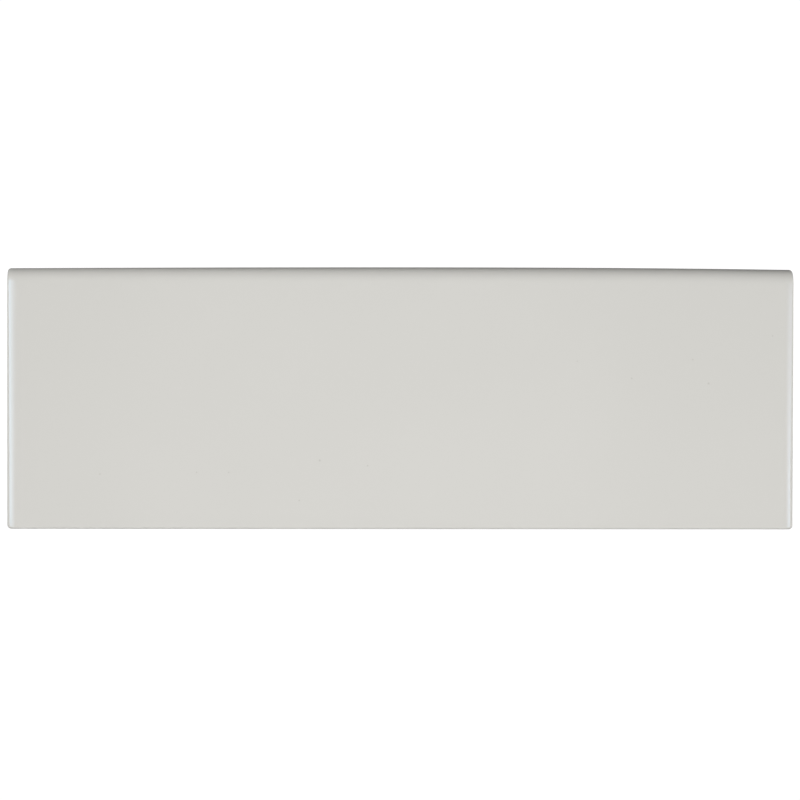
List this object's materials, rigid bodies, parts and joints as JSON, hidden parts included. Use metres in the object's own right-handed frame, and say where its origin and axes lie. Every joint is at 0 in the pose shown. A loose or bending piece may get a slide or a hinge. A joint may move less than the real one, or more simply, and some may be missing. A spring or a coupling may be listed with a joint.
{
  "type": "bullnose tile",
  "caption": "Rectangular glazed ceramic wall trim tile with one long edge rolled over in a bullnose, softly rounded ends and a keyed back for adhesive.",
  "frame": {"origin": "middle of the back, in the plane of its ribs", "axes": "+X along the length, +Y towards the bullnose edge, +Z out of the glazed face"},
  "size_m": [0.3, 0.1, 0.008],
  "materials": {
    "glazed_tile": "gloss"
  },
  "bodies": {
    "root": {"bullnose_tile": "glazed_tile"}
  },
  "joints": []
}
